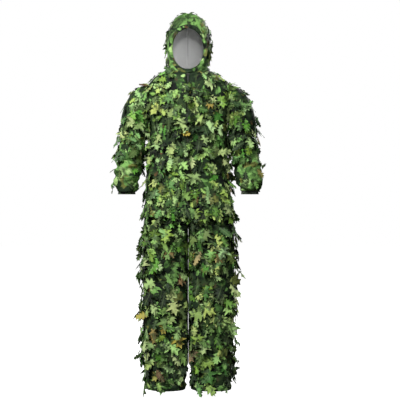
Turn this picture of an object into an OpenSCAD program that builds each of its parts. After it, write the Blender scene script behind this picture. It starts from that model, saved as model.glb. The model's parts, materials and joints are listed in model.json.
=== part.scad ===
// Leafy camouflage suit: a hooded jacket with a front zip over straight trousers, worn shape, arms down.
// The origin is the middle of the trouser waistband, +Z is up, the front faces -Y, the wearer's left is +X.
// Heights in the Hidden section are measured up from the trouser hems, and suit_frame() lowers them.

/* [Heights above the hems] */
// Top edge of the trouser waistband, where the origin lies
waist_h = 970; // [955:5:985]
// Middle of the knee
knee_h = 470; // [455:5:485]
// Middle of the elbow
elbow_h = 1100; // [1090:5:1110]

/* [Cloth] */
// Thickness of the doubled printed cloth
cloth_t = 3; // [2:0.5:4]
// Half the width of the flexible section at a knee
knee_fold = 95; // [90:1:98]
// Half the width of the flexible section at an elbow
elbow_fold = 75; // [70:1:78]

/* [Leaves] */
// Length of a full-size sewn-on leaf
leaf_l = 64; // [50:1:70]
// Thickness of a leaf
leaf_t = 0.8; // [0.6:0.1:1.2]
// Angle at which a leaf stands off the cloth
leaf_tilt = 16; // [12:1:20]

/* [Zip] */
// Width of the gap between the two front panels
zip_gap = 18; // [16:1:20]
// Length of the zip slider
slider_l = 16; // [14:1:18]
// Length of the zip pull
pull_l = 34; // [28:1:38]

/* [Hood] */
// Width of the face opening
face_w = 154; // [140:2:160]
// Height of the face opening
face_h = 190; // [180:2:194]

/* [Hidden] */
SIDES = 36;
ARMHOLE_X = 185;
ARMPIT_H = 1235;
NECK_H = 1462;
HOOD_BASE_H = 1495;
SEAT_END_H = 760;
THIGH_TOP_H = 680;
SLEEVE_TOP_H = 1215;
CUFF_TOP_H = 925;
CUFF_END_H = 898;
FACE_MID_H = 1560;
RIM_R = 7;
CLEAR = 0.5;
FRONT_TOP = [-100, 1450];
FRONT_END = [-135, 800];

// The straight centre-front line of the jacket
function front_y(h) = FRONT_TOP[0]
    + (FRONT_END[0] - FRONT_TOP[0]) * (FRONT_TOP[1] - h) / (FRONT_TOP[1] - FRONT_END[1]);
FRONT_LEAN = atan2(FRONT_TOP[0] - FRONT_END[0], FRONT_TOP[1] - FRONT_END[1]);

// A section is [centre, half width vector, half depth vector, squareness], and squareness 2 is an ellipse
function flat(h, cx, rx, front, back, n = 2) =
    [[cx, (front + back) / 2, h], [rx, 0, 0], [0, (back - front) / 2, 0], n];
function power(v, n) = sign(v) * pow(abs(v), 2 / n);
function shorter(v, t) = v * (norm(v) - t) / norm(v);
function at_angle(s, a, t = 0) =
    s[0] + shorter(s[1], t) * power(cos(a), s[3]) + shorter(s[2], t) * power(sin(a), s[3]);
function between(s, r, f) = [s[0] + (r[0] - s[0]) * f, s[1] + (r[1] - s[1]) * f,
    s[2] + (r[2] - s[2]) * f, s[3] + (r[3] - s[3]) * f];
function height(s) = s[0][2];
function step_below(list, h, k = 0) =
    k >= len(list) - 2 || height(list[k + 1]) >= h ? k : step_below(list, h, k + 1);
function section(list, h) = let (k = step_below(list, h))
    between(list[k], list[k + 1], (h - height(list[k])) / (height(list[k + 1]) - height(list[k])));
// The sections from one height to another, with new ones cut at both ends
function run(list, low, high) = concat([section(list, low)],
    [for (s = list) if (height(s) > low + 1 && height(s) < high - 1) s], [section(list, high)]);
function angle_at_x(s, x) = norm(s[1]) > x ? acos(pow(x / norm(s[1]), s[3] / 2)) : 0;

TORSO = [
    flat(795, 0, 212, front_y(795), 122, 2.3),
    flat(900, 0, 205, front_y(900), 118, 2.3),
    flat(1000, 0, 192, front_y(1000), 112, 2.3),
    flat(1060, 0, 183, front_y(1060), 110, 2.3),
    flat(1140, 0, 180, front_y(1140), 109, 2.3),
    flat(1200, 0, 182, front_y(1200), 111, 2.3),
    flat(ARMPIT_H, 0, ARMHOLE_X, front_y(ARMPIT_H), 112, 2.3),
    flat(1262, 0, 203, front_y(1262), 111, 2.3),
    flat(1292, 0, 218, front_y(1292), 109, 2.3),
    flat(1320, 0, 226, front_y(1320), 107, 2.3),
    flat(1348, 0, 226, front_y(1348), 104, 2.3),
    flat(1372, 0, 210, front_y(1372), 100, 2.3),
    flat(1393, 0, ARMHOLE_X, front_y(1393), 95, 2.3),
    flat(1412, 0, 158, front_y(1412), 90, 2.3),
    flat(1432, 0, 128, front_y(1432), 85, 2.3),
    flat(1448, 0, 108, front_y(1448), 81, 2.3),
    flat(NECK_H, 0, 98, front_y(NECK_H), 79, 2.3)
];

HOOD = [
    flat(HOOD_BASE_H, 0, 92, -102, 88, 2.4),
    flat(1520, 0, 94, -108, 98, 2.5),
    flat(1560, 0, 98, -114, 110, 2.5),
    flat(1600, 0, 99, -116, 117, 2.5),
    flat(1640, 0, 95, -112, 114, 2.5),
    flat(1665, 0, 86, -102, 104, 2.4),
    flat(1685, 0, 72, -86, 88, 2.3),
    flat(1700, 0, 52, -64, 66, 2.2),
    flat(1709, 0, 30, -40, 40, 2.1),
    flat(1713, 0, 9, -13, 9, 2)
];

SEAT = [
    flat(SEAT_END_H, 0, 206, -116, 106, 2.6),
    flat(795, 0, 200, -118, 107, 2.5),
    flat(850, 0, 195, -117, 106, 2.4),
    flat(900, 0, 187, -114, 104, 2.3),
    flat(940, 0, 177, -110, 101, 2.3),
    flat(970, 0, 166, -106, 98, 2.3)
];

// Left trouser leg
LEG = [
    flat(0, 105, 90, -77, 77),
    flat(50, 107, 95, -80, 80),
    flat(120, 109, 97, -84, 82),
    flat(250, 110, 99, -86, 84),
    flat(375, 111, 100, -88, 86),
    flat(470, 111, 101, -90, 88),
    flat(565, 111, 102, -96, 92),
    flat(THIGH_TOP_H, 110, 102, -102, 98, 2.2),
    flat(720, 108, 101, -108, 102, 2.4),
    flat(SEAT_END_H - 1, 105, 100, -115, 105, 2.6)
];

// Left sleeve below the shoulder
SLEEVE = [
    flat(CUFF_TOP_H, 286, 46, -46, 46),
    flat(942, 285, 56, -54, 54),
    flat(980, 281, 60, -59, 59),
    flat(1053, 271, 60, -60, 60),
    flat(1100, 263, 59, -61, 61),
    flat(1160, 256, 59, -63, 63),
    flat(SLEEVE_TOP_H, 252, 60, -65, 65)
];

// The shoulder turns about the armpit from the level top of the sleeve to the upright armhole
SHOULDER_PIVOT = [187, 0, 1226];
function shoulder_section(turn) =
    let (d = 158 - 38 * sin(turn), out = [sin(turn), 0, cos(turn)])
    [SHOULDER_PIVOT + out * (5 + d / 2), out * d / 2, [0, 66 - sin(turn), 0], 2];
SHOULDER = concat([section(SLEEVE, SLEEVE_TOP_H)], [for (turn = [90 : -15 : 0]) shoulder_section(turn)]);

// Closed skin between matching rows of outer and inner points. A whole skin joins its last column
// to its first, and an open one gets a wall down each side.
module skin(outer, inner, whole = true) {
    rows = len(outer);
    cols = len(outer[0]);
    last = whole ? cols - 1 : cols - 2;
    function o(i, j) = i * cols + j % cols;
    function p(i, j) = rows * cols + o(i, j);
    sides = [for (i = [0 : rows - 2], j = [0 : last]) each [
        [o(i, j), o(i + 1, j), o(i + 1, j + 1)], [o(i, j), o(i + 1, j + 1), o(i, j + 1)],
        [p(i, j), p(i + 1, j + 1), p(i + 1, j)], [p(i, j), p(i, j + 1), p(i + 1, j + 1)]]];
    top = rows - 1;
    rims = [for (j = [0 : last]) each [
        [o(0, j), o(0, j + 1), p(0, j + 1)], [o(0, j), p(0, j + 1), p(0, j)],
        [o(top, j + 1), o(top, j), p(top, j)], [o(top, j + 1), p(top, j), p(top, j + 1)]]];
    end = cols - 1;
    walls = whole ? [] : [for (i = [0 : rows - 2]) each [
        [o(i + 1, 0), o(i, 0), p(i, 0)], [o(i + 1, 0), p(i, 0), p(i + 1, 0)],
        [o(i, end), o(i + 1, end), p(i, end)], [o(i + 1, end), p(i + 1, end), p(i, end)]]];
    polyhedron([for (r = outer) each r, for (r = inner) each r], concat(sides, rims, walls), 6);
}

// Cloth tube through a list of sections, grown outwards by `proud`
module tube(list, t = cloth_t, proud = 0) {
    angles = [for (k = [0 : SIDES - 1]) k * 360 / SIDES];
    skin([for (s = list) [for (a = angles) at_angle(s, a, -proud)]],
         [for (s = list) [for (a = angles) at_angle(s, a, t - proud)]]);
}

// Cloth panel over part of each section, spans holding one [first, last] angle for each
module panel(list, spans, steps, t = cloth_t, proud = 0, drops = []) {
    function column(k, j) = spans[k][0] + (spans[k][1] - spans[k][0]) * j / steps;
    function drop(k) = [0, 0, len(drops) > 0 ? -drops[k] * t : 0];
    skin([for (k = [0 : len(list) - 1]) [for (j = [0 : steps]) at_angle(list[k], column(k, j), -proud)]],
         [for (k = [0 : len(list) - 1])
             [for (j = [0 : steps]) at_angle(list[k], column(k, j), t - proud) + drop(k)]],
         false);
}

module suit_frame() {
    translate([0, 0, -waist_h]) children();
}

// side is 1 for the wearer's left and -1 for the right
module mirrored(side) {
    if (side > 0) children();
    else mirror([1, 0, 0]) children();
}

module on_side(side) {
    mirrored(side) suit_frame() children();
}

// One lobed leaf, hanging from its stalk at the origin, of unit length
LEAF_HALF = [[0.03, 0.04], [0.06, -0.14], [0.20, -0.10], [0.33, -0.24], [0.21, -0.36], [0.40, -0.46],
    [0.36, -0.64], [0.20, -0.62], [0.24, -0.82], [0.11, -0.84], [0, -1]];
module leaf(size) {
    other_half = [for (k = [len(LEAF_HALF) - 2 : -1 : 0]) [-LEAF_HALF[k][0], LEAF_HALF[k][1]]];
    outline = concat(LEAF_HALF, other_half);
    linear_extrude(leaf_t) scale(size) polygon(outline);
}

// Sets a leaf on the cloth at a height and an angle
LEAF_LIFT = 1.5;
module leaf_at(list, h, a, size, twist = 0, tilt = leaf_tilt) {
    s = section(list, h);
    root = at_angle(s, a);
    across = at_angle(s, a + 1) - at_angle(s, a - 1);
    up = at_angle(section(list, h + 5), a) - at_angle(section(list, h - 5), a);
    x = across / norm(across);
    out = cross(x, up) / norm(cross(x, up));
    y = cross(out, x);
    place = root + out * LEAF_LIFT;
    multmatrix([[x[0], y[0], out[0], place[0]], [x[1], y[1], out[1], place[1]],
        [x[2], y[2], out[2], place[2]], [0, 0, 0, 1]])
        rotate([-tilt, 0, 0]) rotate([0, 0, twist]) leaf(size);
}

// One row of leaves at a height, on the angles listed, with sizes and twists that differ
LEAF_SPREAD = 0.14;
LEAF_TWIST = 14;
module leaf_row(list, h, angles, r = 0) {
    for (k = [0 : len(angles) - 1]) {
        size = leaf_l * (1 - LEAF_SPREAD * (1 - sin(97 * (r * len(angles) + k))));
        leaf_at(list, h, angles[k], size, LEAF_TWIST * sin(71 * (r + k)));
    }
}

// Rows of leaves between two heights, each row turned the other way by `shift`
module leaf_rows(list, low, high, pitch, angles, shift) {
    for (r = [0 : floor((high - low) / pitch)])
        leaf_row(list, low + r * pitch, [for (a = angles) a + (r % 2 == 0 ? shift : -shift)], r);
}

// ---------------------------------------------------------------- trousers

module seat_front() {
    color("darkolivegreen") suit_frame() panel(SEAT, [for (s = SEAT) [-180, 0]], 18);
}

module seat_back() {
    color("darkolivegreen") suit_frame() panel(SEAT, [for (s = SEAT) [0, 180]], 18);
}

module waistband_casing() {
    color("olivedrab") suit_frame() tube(run(SEAT, 932, 968), 1.5, CLEAR + 1.5);
}

module waist_elastic() {
    color("dimgray") suit_frame() tube(run(SEAT, 936, 966), 1.5, -cloth_t - CLEAR);
}

module hip_fold(side) {
    color("olivedrab") on_side(side) tube(run(LEG, THIGH_TOP_H, SEAT_END_H - 1));
}

module leg_panel(side, low, high, front) {
    list = run(LEG, low, high);
    color("darkolivegreen") on_side(side)
        panel(list, [for (s = list) front ? [-180, 0] : [0, 180]], SIDES / 2);
}

module knee_section(side) {
    color("olivedrab") on_side(side) tube(run(LEG, knee_h - knee_fold, knee_h + knee_fold));
}

module leg_hem(side) {
    color("olive") on_side(side) tube(run(LEG, 2, 26), 1.5, CLEAR + 1.5);
}

module thigh_leaves(side) {
    color("limegreen") on_side(side) leaf_row(LEG, THIGH_TOP_H - 40, [-140, -90, -35, 30, 85]);
}

module shin_leaves(side) {
    color("forestgreen") on_side(side) leaf_rows(LEG, 50, 350, 85, [-140, -92, -42, 22, 72, 122], 8);
}

// ---------------------------------------------------------------- jacket

function armhole(s) = angle_at_x(s, ARMHOLE_X);
function front_edge(s) = -angle_at_x(s, zip_gap / 2);

module front_panel(side) {
    color("olivedrab") on_side(side) panel(TORSO, [for (s = TORSO) [front_edge(s), -armhole(s)]], 12);
}

module back_panel() {
    color("olivedrab") suit_frame() panel(TORSO, [for (s = TORSO) [armhole(s), 180 - armhole(s)]], 20);
}

module jacket_hem_band() {
    list = run(TORSO, 797, 822);
    color("olive") suit_frame()
        panel(list, [for (s = list) [front_edge(s), 180 - front_edge(s)]], SIDES, 1.5, CLEAR + 1.5);
}

// Frame of the zip: the origin is the top of the centre front, -Z runs down the cloth, -Y is out
module zip_frame() {
    suit_frame() translate([0, FRONT_TOP[0], FRONT_TOP[1]]) rotate([-FRONT_LEAN, 0, 0]) children();
}

TAPE_W = zip_gap / 2 - 0.6;
TAPE_L = 645;
COIL_W = 2.4;
COIL_T = 1.6;
module zip_tape(side) {
    color("dimgray") zip_frame() mirrored(side) {
        translate([0.1, 0, -TAPE_L]) cube([TAPE_W, 1.4, TAPE_L]);
        translate([0.1, -COIL_T, -TAPE_L]) cube([COIL_W, COIL_T, TAPE_L]);
    }
}

SLIDER_W = 11;
SLIDER_T = 3.2;
SLIDER_Y = -COIL_T - 0.4;
module zip_end_box() {
    color("darkgray") zip_frame() translate([-5, SLIDER_Y - 2.2, -TAPE_L]) cube([10, 2.2, 13]);
}

// The slider is a wedge-shaped plate with a bridge that holds the pull
PULL_PIN_R = 1.1;
PULL_PIN_Y = SLIDER_Y - SLIDER_T - 2.2;
PULL_PIN_Z = -10;
BRIDGE_T = 1.6;
BRIDGE_W = 4.4;
module zip_slider() {
    color("gray") zip_frame() {
        translate([0, SLIDER_Y, -2]) rotate([90, 0, 0]) linear_extrude(SLIDER_T)
            polygon([[-SLIDER_W / 2, 0], [SLIDER_W / 2, 0], [SLIDER_W / 2, -slider_l / 2],
                [SLIDER_W / 3, -slider_l], [-SLIDER_W / 3, -slider_l], [-SLIDER_W / 2, -slider_l / 2]]);
        for (x = [-BRIDGE_W, BRIDGE_W - BRIDGE_T])
            translate([x, PULL_PIN_Y - 2, PULL_PIN_Z - 2]) cube([BRIDGE_T, 4.4, 4]);
        translate([-BRIDGE_W, PULL_PIN_Y, PULL_PIN_Z]) rotate([0, 90, 0])
            cylinder(r = PULL_PIN_R, h = 2 * BRIDGE_W, $fn = 32);
    }
}

PULL_W = 5;
PULL_T = 1.2;
PULL_EYE_R = 2;
PULL_HOLE_R = PULL_PIN_R + 0.1;
module zip_pull() {
    color("darkslategray") zip_frame() translate([0, PULL_PIN_Y, PULL_PIN_Z]) difference() {
        union() {
            translate([-PULL_W / 2, -PULL_T / 2, -pull_l]) cube([PULL_W, PULL_T, pull_l - PULL_EYE_R / 2]);
            rotate([0, 90, 0]) translate([0, 0, -PULL_W / 2]) cylinder(r = PULL_EYE_R, h = PULL_W, $fn = 32);
        }
        rotate([0, 90, 0]) translate([0, 0, -PULL_W]) cylinder(r = PULL_HOLE_R, h = 2 * PULL_W, $fn = 32);
    }
}

// A strip loop inside the back of the neck, to hang the jacket by
LOOP_W = 46;
LOOP_DROP = 30;
LOOP_BAND = 6;
LOOP_H = 1448;
LOOP_Y = 70;
module hang_loop() {
    color("darkolivegreen") suit_frame() translate([0, LOOP_Y, LOOP_H]) rotate([90, 0, 0]) linear_extrude(2)
        difference() {
            translate([-LOOP_W / 2, -LOOP_DROP]) square([LOOP_W, LOOP_DROP]);
            translate([-LOOP_W / 2 + LOOP_BAND, -LOOP_DROP + LOOP_BAND])
                square([LOOP_W - 2 * LOOP_BAND, LOOP_DROP - 2 * LOOP_BAND]);
        }
}

// Rows of leaves on the front (face -1) or back (face 1) of the jacket, clear of the armholes and the zip
TORSO_LEAVES_X = [-120, -55, 55, 120];
TORSO_LEAVES_LOW = 890;
TORSO_LEAVES_PITCH = 88;
function angle_of_x(s, x) = x > 0 ? angle_at_x(s, x) : 180 - angle_at_x(s, -x);
module torso_leaves(face) {
    for (r = [0 : 5]) {
        h = TORSO_LEAVES_LOW + r * TORSO_LEAVES_PITCH;
        shift = r % 2 == 0 ? 4 : -4;
        leaf_row(TORSO, h, [for (x = TORSO_LEAVES_X) face * angle_of_x(section(TORSO, h), x) + shift], r);
    }
}

module chest_leaves() {
    color("limegreen") suit_frame() torso_leaves(-1);
}

module back_leaves() {
    color("forestgreen") suit_frame() torso_leaves(1);
}

// ---------------------------------------------------------------- sleeves

module shoulder_fold(side) {
    color("olivedrab") on_side(side) tube(SHOULDER);
}

module upper_sleeve(side) {
    color("darkolivegreen") on_side(side) tube(run(SLEEVE, elbow_h + elbow_fold, SLEEVE_TOP_H));
}

module upper_sleeve_leaves(side) {
    color("forestgreen") on_side(side) leaf_row(SLEEVE, SLEEVE_TOP_H - 12, [-115, -45, 45, 115]);
}

module elbow_section(side) {
    color("olivedrab") on_side(side) tube(run(SLEEVE, elbow_h - elbow_fold, elbow_h + elbow_fold));
}

module forearm_sleeve(side) {
    color("darkolivegreen") on_side(side) tube(run(SLEEVE, CUFF_TOP_H, elbow_h - elbow_fold));
}

CUFF_STEP = 5;
CUFF = [flat(CUFF_END_H, 287, 40, -41, 41), flat(CUFF_TOP_H - CUFF_STEP, 286, 41, -42, 42),
    flat(CUFF_TOP_H, 286, 46, -46, 46)];
module cuff(side) {
    color("darkslategray") on_side(side) tube(CUFF);
}

module forearm_leaves(side) {
    color("forestgreen") on_side(side) leaf_row(SLEEVE, elbow_h - elbow_fold - 13, [-110, -35, 35, 110]);
}

// ---------------------------------------------------------------- hood

NECK = [section(TORSO, NECK_H), flat(1478, 0, 91, -100, 80, 2.3), section(HOOD, HOOD_BASE_H)];
module neck_fold() {
    color("darkolivegreen") suit_frame() tube(NECK);
}

// Half the width of the face opening at a height
function face_half(h) = abs(h - FACE_MID_H) >= face_h / 2 ? 0
    : face_w / 2 * sqrt(1 - pow((h - FACE_MID_H) / (face_h / 2), 2));
HOOD_ROWS = concat([for (h = [HOOD_BASE_H : 16.5 : 1661]) section(HOOD, h)],
    [for (h = [1672, 1685, 1693, 1700, 1705, 1709, 1713]) section(HOOD, h)]);
HOOD_DROPS = [for (s = HOOD_ROWS) height(s) > 1680 ? 1 : height(s) > 1640 ? 0.5 : 0];

module hood_half(side) {
    color("olivedrab") on_side(side)
        panel(HOOD_ROWS, [for (s = HOOD_ROWS) [-angle_at_x(s, face_half(height(s))), 90]], 14, cloth_t, 0,
            HOOD_DROPS);
}

// The rim is a rolled hem that follows the face opening, just in front of the cloth's edge
RIM_STEPS = 32;
RIM_SIDES = 8;
function rim_point(a) =
    let (h = FACE_MID_H + (face_h / 2 - 1) * sin(a), x = face_w / 2 * cos(a),
        s = section(concat([section(TORSO, NECK_H)], HOOD), h),
        across = pow(1 - pow(min(1, abs(x) / norm(s[1])), s[3]), 1 / s[3]))
    [x, s[0][1] - norm(s[2]) * across - RIM_R - 1.5, h];
function rim_ring(a) =
    let (c = rim_point(a), along = rim_point(a + 2) - rim_point(a - 2), t = along / norm(along),
        u = cross(t, [0, 1, 0]), side = u / norm(u), other = cross(t, side))
    [for (k = [0 : RIM_SIDES - 1]) let (b = k * 360 / RIM_SIDES)
        c + RIM_R * (cos(b) * side + sin(b) * other)];
module hood_rim() {
    rings = [for (k = [0 : RIM_STEPS - 1]) rim_ring(k * 360 / RIM_STEPS)];
    function q(k, j) = (k % RIM_STEPS) * RIM_SIDES + j % RIM_SIDES;
    color("yellowgreen") suit_frame() polyhedron([for (r = rings) each r],
        [for (k = [0 : RIM_STEPS - 1], j = [0 : RIM_SIDES - 1]) each [
            [q(k, j), q(k + 1, j), q(k + 1, j + 1)], [q(k, j), q(k + 1, j + 1), q(k, j + 1)]]], 6);
}

module hood_leaves() {
    color("limegreen") suit_frame() {
        leaf_rows(HOOD, 1560, 1650, 45, [0, 45, 90, 135, 180], 12);
        leaf_at(HOOD, 1702, 200, 40, 0, 30);
        leaf_at(HOOD, 1702, 20, 40, 0, 30);
    }
}

// ---------------------------------------------------------------- nodes

seat_front();
seat_back();
waistband_casing();
waist_elastic();
hip_fold(1);  // left_hip_fold
hip_fold(-1);  // right_hip_fold
leg_panel(1, knee_h + knee_fold, THIGH_TOP_H, true);  // left_thigh_front
leg_panel(-1, knee_h + knee_fold, THIGH_TOP_H, true);  // right_thigh_front
leg_panel(1, knee_h + knee_fold, THIGH_TOP_H, false);  // left_thigh_back
leg_panel(-1, knee_h + knee_fold, THIGH_TOP_H, false);  // right_thigh_back
thigh_leaves(1);  // left_thigh_leaves
thigh_leaves(-1);  // right_thigh_leaves
knee_section(1);  // left_knee_fold
knee_section(-1);  // right_knee_fold
leg_panel(1, 0, knee_h - knee_fold, true);  // left_shin_front
leg_panel(-1, 0, knee_h - knee_fold, true);  // right_shin_front
leg_panel(1, 0, knee_h - knee_fold, false);  // left_shin_back
leg_panel(-1, 0, knee_h - knee_fold, false);  // right_shin_back
leg_hem(1);  // left_leg_hem
leg_hem(-1);  // right_leg_hem
shin_leaves(1);  // left_shin_leaves
shin_leaves(-1);  // right_shin_leaves
front_panel(1);  // front_panel_left
front_panel(-1);  // front_panel_right
back_panel();
jacket_hem_band();
zip_tape(1);  // zip_tape_left
zip_tape(-1);  // zip_tape_right
zip_end_box();
hang_loop();
chest_leaves();
back_leaves();
shoulder_fold(1);  // left_shoulder_fold
shoulder_fold(-1);  // right_shoulder_fold
upper_sleeve(1);  // left_upper_sleeve
upper_sleeve(-1);  // right_upper_sleeve
upper_sleeve_leaves(1);  // left_upper_sleeve_leaves
upper_sleeve_leaves(-1);  // right_upper_sleeve_leaves
elbow_section(1);  // left_elbow_fold
elbow_section(-1);  // right_elbow_fold
forearm_sleeve(1);  // left_forearm_sleeve
forearm_sleeve(-1);  // right_forearm_sleeve
cuff(1);  // left_cuff
cuff(-1);  // right_cuff
forearm_leaves(1);  // left_forearm_leaves
forearm_leaves(-1);  // right_forearm_leaves
neck_fold();
hood_half(1);  // hood_left
hood_half(-1);  // hood_right
hood_rim();
hood_leaves();
zip_slider();
zip_pull();
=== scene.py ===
"""Looks of the leafy camouflage suit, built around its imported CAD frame. Metres, +Z up, front faces -Y."""

import copy
import json
import math

import bpy
import numpy as np
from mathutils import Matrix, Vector
from mathutils.bvhtree import BVHTree


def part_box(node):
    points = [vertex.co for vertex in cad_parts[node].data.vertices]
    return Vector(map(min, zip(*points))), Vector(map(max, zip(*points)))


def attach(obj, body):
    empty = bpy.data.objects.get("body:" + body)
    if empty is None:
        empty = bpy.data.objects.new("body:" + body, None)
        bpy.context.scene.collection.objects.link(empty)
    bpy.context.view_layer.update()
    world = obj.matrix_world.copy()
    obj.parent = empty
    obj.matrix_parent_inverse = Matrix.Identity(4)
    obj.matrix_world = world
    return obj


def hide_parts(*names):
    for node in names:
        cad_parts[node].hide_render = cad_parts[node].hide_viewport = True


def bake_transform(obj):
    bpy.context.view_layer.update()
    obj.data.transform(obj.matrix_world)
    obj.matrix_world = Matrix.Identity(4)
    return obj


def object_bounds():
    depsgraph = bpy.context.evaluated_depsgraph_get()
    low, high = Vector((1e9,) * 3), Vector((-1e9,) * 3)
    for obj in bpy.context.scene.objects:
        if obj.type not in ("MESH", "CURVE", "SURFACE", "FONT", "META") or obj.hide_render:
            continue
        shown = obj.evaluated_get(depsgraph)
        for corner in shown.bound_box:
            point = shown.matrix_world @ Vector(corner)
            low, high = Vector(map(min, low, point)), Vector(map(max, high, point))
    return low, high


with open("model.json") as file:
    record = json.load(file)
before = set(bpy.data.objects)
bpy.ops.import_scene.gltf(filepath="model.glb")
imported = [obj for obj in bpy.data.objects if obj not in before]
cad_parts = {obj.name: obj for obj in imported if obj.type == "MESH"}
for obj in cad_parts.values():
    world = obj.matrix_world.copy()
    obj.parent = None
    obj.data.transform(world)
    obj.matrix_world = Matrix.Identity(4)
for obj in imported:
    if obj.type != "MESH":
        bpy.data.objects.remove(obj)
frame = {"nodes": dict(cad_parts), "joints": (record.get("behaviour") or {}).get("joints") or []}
CAD_BOX = [list(corner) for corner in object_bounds()]
RANDOM = np.random.default_rng(11)
SIDES = {"left": 1, "right": -1}


def low(node):
    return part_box(node)[0][2]


def high(node):
    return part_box(node)[1][2]


JOINT_AT = {j["name"]: j.get("pos_m") for j in frame["joints"]}
HEM_DROP = 0.006
HEM_Z = low("left_leg_hem") - HEM_DROP
SEAT_LOW_Z = low("seat_front")
WAIST_Z = high("seat_front")
JACKET_HEM_Z = low("back_panel")
NECK_Z = high("back_panel")
HOOD_BASE_Z = low("hood_left")
CUFF_LOW_Z = low("left_cuff")
CUFF_TOP_Z = high("left_cuff")
KNEE_Z = JOINT_AT["left_knee"][2]
ELBOW_Z = JOINT_AT["left_elbow"][2]
SHOULDER_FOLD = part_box("left_shoulder_fold")
THIGH_SPLIT_Z = (high("left_thigh_front") + low("left_thigh_front")) / 2
RIM_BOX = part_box("hood_rim")
FACE_MID_Z = (RIM_BOX[0][2] + RIM_BOX[1][2]) / 2


# ------ camera, light, floor

FRAME_WIDTH = 1.812
VIEW_X = 0.0545
VIEW_Z = -0.098
SUIT_FRONT_Y = -0.12
LENS_MM = 85
SENSOR_MM = 36
FLOOR_DROP = 0.035
FLOOR_HALF = 14
# Name, place, aim, size, power and colour of each area lamp
LAMPS = (("key", (-2.2, -3.6, 2.8), (0, 0, 0.1), 0.8, 325, (1, 1, 0.97)),
         ("front", (1.6, -4.6, 0.9), (0, 0, -0.1), 3.0, 55, (1, 1, 1)),
         ("back", (2.4, 3.6, 2.6), (0, 0, 0.1), 1.4, 220, (1, 1, 1)),
         ("back_fill", (-3.2, 2.8, 0.8), (0, 0, -0.1), 3.0, 60, (1, 1, 1)),
         ("top", (0, 0, 4.2), (0, 0, 0), 3.5, 30, (1, 1, 1)))


def set_camera():
    data = bpy.data.cameras.new("camera")
    data.lens = LENS_MM
    data.sensor_width = SENSOR_MM
    camera = bpy.data.objects.new("camera", data)
    camera.location = (VIEW_X, SUIT_FRONT_Y - LENS_MM * FRAME_WIDTH / SENSOR_MM, VIEW_Z)
    camera.rotation_euler = (math.radians(90), 0, 0)
    bpy.context.scene.collection.objects.link(camera)
    bpy.context.scene.camera = camera


def lamp(name, kind, place, aim, power, **settings):
    data = bpy.data.lights.new(name, kind)
    data.energy = power
    for key, value in settings.items():
        setattr(data, key, value)
    light = bpy.data.objects.new(name, data)
    light.location = place
    light.rotation_euler = (Vector(aim) - Vector(place)).to_track_quat("-Z", "Y").to_euler()
    bpy.context.scene.collection.objects.link(light)


def set_stage():
    """White studio: lamps, one soft-edged spot on the hood alone, and a floor."""
    bpy.context.scene.view_settings.view_transform = "Standard"
    world = bpy.data.worlds.new("studio")
    bpy.context.scene.world = world
    world.use_nodes = True
    world.node_tree.nodes["Background"].inputs["Color"].default_value = (1, 1, 1, 1)
    world.node_tree.nodes["Background"].inputs["Strength"].default_value = 1.0
    world.cycles_visibility.diffuse = False
    world.cycles_visibility.glossy = False
    for name, place, aim, size, power, colour in LAMPS:
        lamp(name, "AREA", place, aim, power, shape="DISK", size=size, color=colour)
    lamp("hood_spot", "SPOT", (0.05, -4.3, 0.75), (0, 0, FACE_MID_Z), 300,
         spot_size=math.radians(7), spot_blend=1.0, shadow_soft_size=0.25)
    floor_z = HEM_Z - FLOOR_DROP
    corners = [(x, y, floor_z) for x, y in ((-FLOOR_HALF, -FLOOR_HALF), (FLOOR_HALF, -FLOOR_HALF),
                                            (FLOOR_HALF, FLOOR_HALF), (-FLOOR_HALF, FLOOR_HALF))]
    mesh = bpy.data.meshes.new("floor")
    mesh.from_pydata(corners, [], [(0, 1, 2, 3)])
    floor = bpy.data.objects.new("floor", mesh)
    bpy.context.scene.collection.objects.link(floor)
    material = bpy.data.materials.new("floor")
    material.use_nodes = True
    shader = material.node_tree.nodes["Principled BSDF"]
    shader.inputs["Base Color"].default_value = (0.4, 0.4, 0.4, 1)
    shader.inputs["Roughness"].default_value = 0.9
    shader.inputs["Emission Color"].default_value = (1, 1, 1, 1)
    shader.inputs["Emission Strength"].default_value = 1.0
    floor.data.materials.append(material)
    floor.visible_diffuse = False
    floor.visible_glossy = False


# ------ materials

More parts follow.
